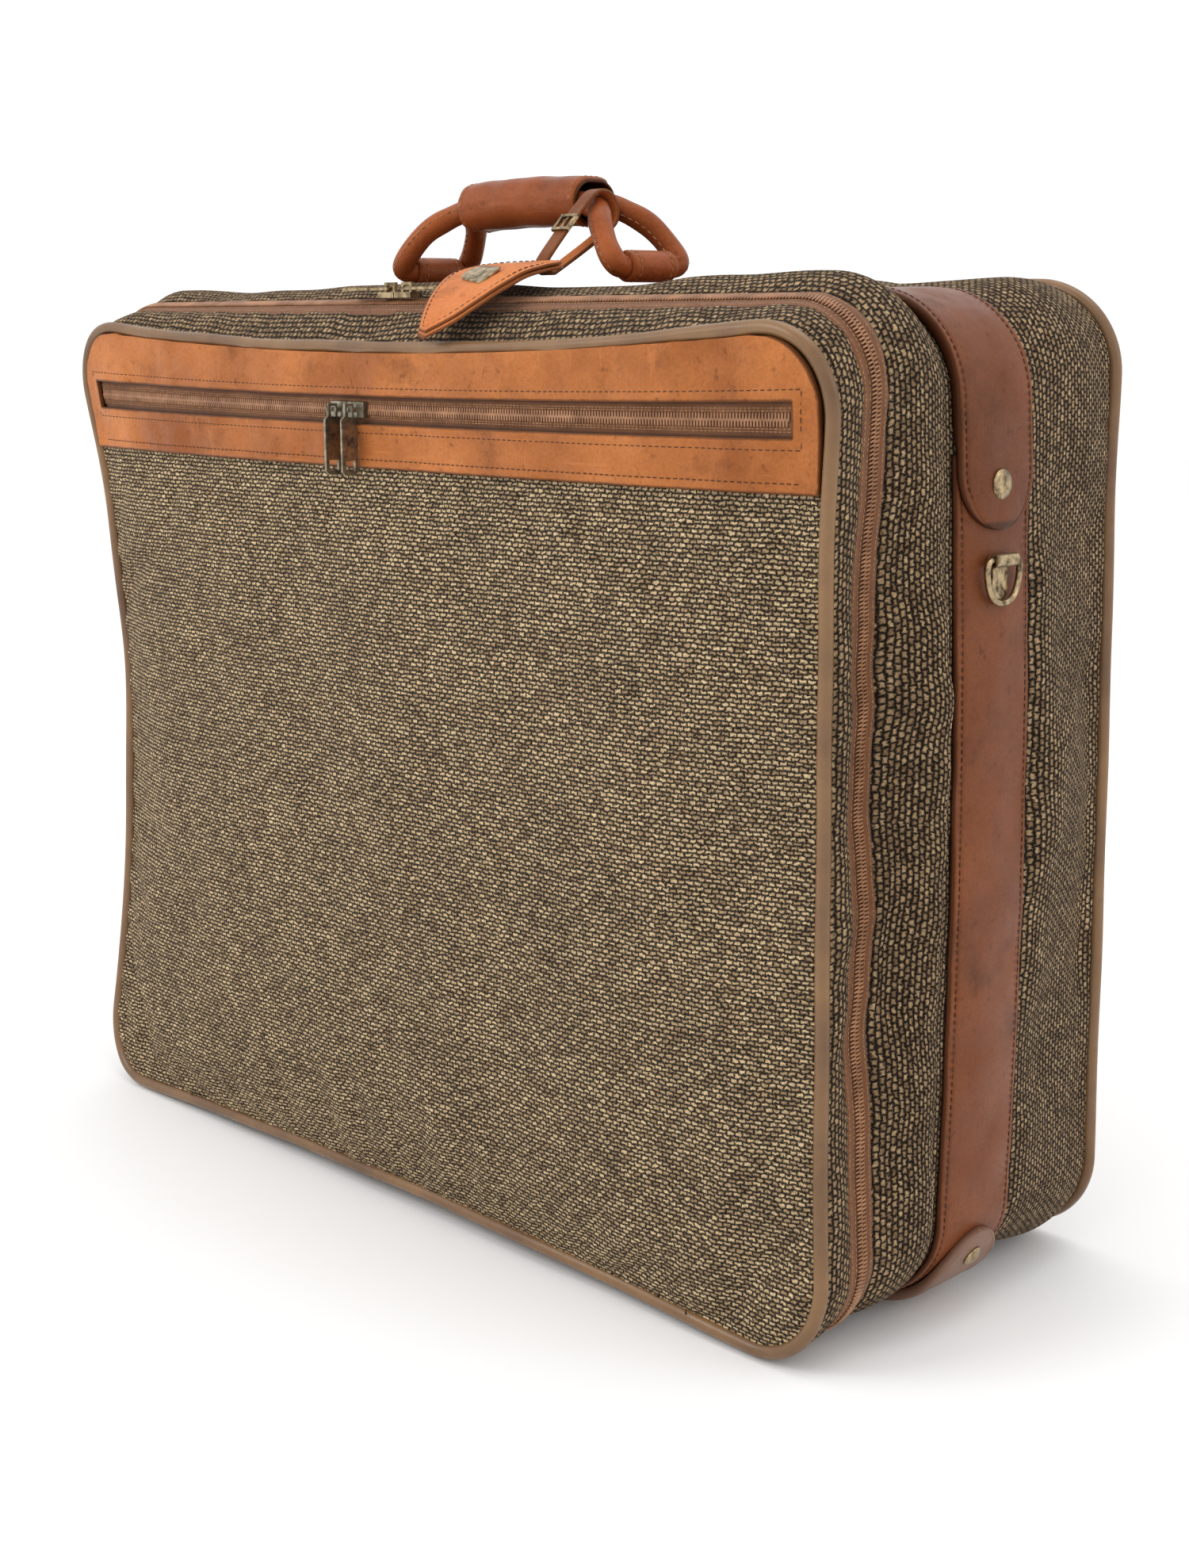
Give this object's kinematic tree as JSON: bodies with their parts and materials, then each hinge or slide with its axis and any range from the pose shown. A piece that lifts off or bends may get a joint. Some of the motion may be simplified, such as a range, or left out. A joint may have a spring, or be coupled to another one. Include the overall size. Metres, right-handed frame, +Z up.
{
  "type": "softside upright suitcase",
  "caption": "Upright soft suitcase with a zipped front lid and pocket, leather straps, rolled carry handle, luggage tag, D-rings and corner skids.",
  "frame": {"origin": "middle of the bounding box at floor level", "axes": "+X to the right seen from the front, +Y from the zipped front to the back, +Z up"},
  "size_m": [0.6676, 0.2463, 0.5854],
  "materials": {
    "tweed": "woven tweed, cream nubs over dark brown",
    "band_leather": "smooth tan leather, worn",
    "strap_leather": "smooth red-brown leather, worn",
    "piping_vinyl": "satin vinyl piping",
    "zip_tape": "woven tape with nylon coil",
    "brass_metal": "antique brass, worn bright on edges",
    "pewter_metal": "greyed antique brass",
    "skid_plastic": "satin moulded plastic",
    "lining_cloth": "plain lining cloth",
    "board": "fibre board",
    "hoop_plastic": "extruded plastic strip"
  },
  "bodies": {
    "case": {"body_gusset": "tweed", "rear_piping": "piping_vinyl", "rear_panel": "tweed", "rear_board": "board", "frame_hoop": "hoop_plastic", "body_lining": "lining_cloth", "back_lining": "lining_cloth", "tie_strap_left": "strap_leather", "tie_strap_right": "strap_leather", "tie_buckle": "brass_metal", "main_zip_body": "zip_tape", "hinge_web": "tweed", "lower_strap": "strap_leather", "top_strap": "strap_leather", "strap_rivet_left": "brass_metal", "strap_rivet_right": "brass_metal", "ring_keeper_left": "brass_metal", "ring_keeper_right": "brass_metal", "corner_skid_left": "skid_plastic", "corner_skid_right": "skid_plastic", "skid_rivet_left": "brass_metal", "skid_rivet_right": "brass_metal", "handle_tab_left": "strap_leather", "handle_tab_right": "strap_leather"},
    "lid": {"lid_piping": "piping_vinyl", "lid_gusset": "tweed", "lid_panel": "tweed", "pocket_band": "band_leather", "pocket_zip": "zip_tape", "lid_board": "board", "lid_lining": "lining_cloth", "main_zip_lid": "zip_tape", "lid_web": "tweed"},
    "main_slider_left": {"main_slider_left": "brass_metal"},
    "main_pull_left": {"main_pull_left": "brass_metal"},
    "pocket_slider_left": {"pocket_slider_left": "pewter_metal"},
    "pocket_pull_left": {"pocket_pull_left": "pewter_metal"},
    "d_ring_left": {"d_ring_left": "brass_metal"},
    "main_slider_right": {"main_slider_right": "brass_metal"},
    "main_pull_right": {"main_pull_right": "brass_metal"},
    "pocket_slider_right": {"pocket_slider_right": "pewter_metal"},
    "pocket_pull_right": {"pocket_pull_right": "pewter_metal"},
    "d_ring_right": {"d_ring_right": "brass_metal"},
    "handle": {"handle_roll_front": "strap_leather", "handle_roll_rear": "strap_leather", "handle_grip": "strap_leather", "handle_sleeve_left": "strap_leather", "handle_sleeve_right": "strap_leather"},
    "tag": {"tag_strap": "band_leather", "tag_buckle": "brass_metal", "tag_prong": "brass_metal", "tag_back_leaf": "band_leather", "tag_front_leaf": "band_leather", "tag_plate": "brass_metal"}
  },
  "joints": [
    {"name": "lid_hinge", "type": "hinge", "parent": "case", "child": "lid", "pos_m": [0, -0.078, 0.004], "axis": [1, 0, 0], "range_deg": [0, 85]},
    {"name": "main_slider_left_slide", "type": "slide", "parent": "case", "child": "main_slider_left", "axis": [-1, 0, 0], "range_m": [0, 0.22]},
    {"name": "main_pull_left_flip", "type": "hinge", "parent": "main_slider_left", "child": "main_pull_left", "pos_m": [-0.0314, -0.078, 0.5246], "axis": [0, 1, 0], "range_deg": [0, 90]},
    {"name": "main_slider_right_slide", "type": "slide", "parent": "case", "child": "main_slider_right", "axis": [1, 0, 0], "range_m": [0, 0.22]},
    {"name": "main_pull_right_flip", "type": "hinge", "parent": "main_slider_right", "child": "main_pull_right", "pos_m": [-0.0166, -0.078, 0.5246], "axis": [0, -1, 0], "range_deg": [0, 90]},
    {"name": "pocket_slider_left_slide", "type": "slide", "parent": "lid", "child": "pocket_slider_left", "axis": [-1, 0, 0], "range_m": [0, 0.22]},
    {"name": "pocket_pull_left_swing", "type": "hinge", "parent": "pocket_slider_left", "child": "pocket_pull_left", "pos_m": [-0.0334, -0.1202, 0.45845], "axis": [-1, 0, 0], "range_deg": [0, 100]},
    {"name": "pocket_slider_right_slide", "type": "slide", "parent": "lid", "child": "pocket_slider_right", "axis": [1, 0, 0], "range_m": [0, 0.27]},
    {"name": "pocket_pull_right_swing", "type": "hinge", "parent": "pocket_slider_right", "child": "pocket_pull_right", "pos_m": [-0.0186, -0.1202, 0.45845], "axis": [-1, 0, 0], "range_deg": [0, 100]},
    {"name": "d_ring_left_swing", "type": "hinge", "parent": "case", "child": "d_ring_left", "pos_m": [-0.3304, 0.004, 0.3914], "axis": [0, 1, 0], "range_deg": [0, 150]},
    {"name": "d_ring_right_swing", "type": "hinge", "parent": "case", "child": "d_ring_right", "pos_m": [0.3304, 0.004, 0.3914], "axis": [0, -1, 0], "range_deg": [0, 150]},
    {"name": "handle_tilt", "type": "hinge", "parent": "case", "child": "handle", "pos_m": [0, 0.004, 0.5356], "axis": [-1, 0, 0], "range_deg": [0, 18]},
    {"name": "tag_swing", "type": "hinge", "parent": "handle", "child": "tag", "pos_m": [0.064, -0.0072, 0.566], "axis": [-1, 0, 0], "range_deg": [0, 34]}
  ]
}
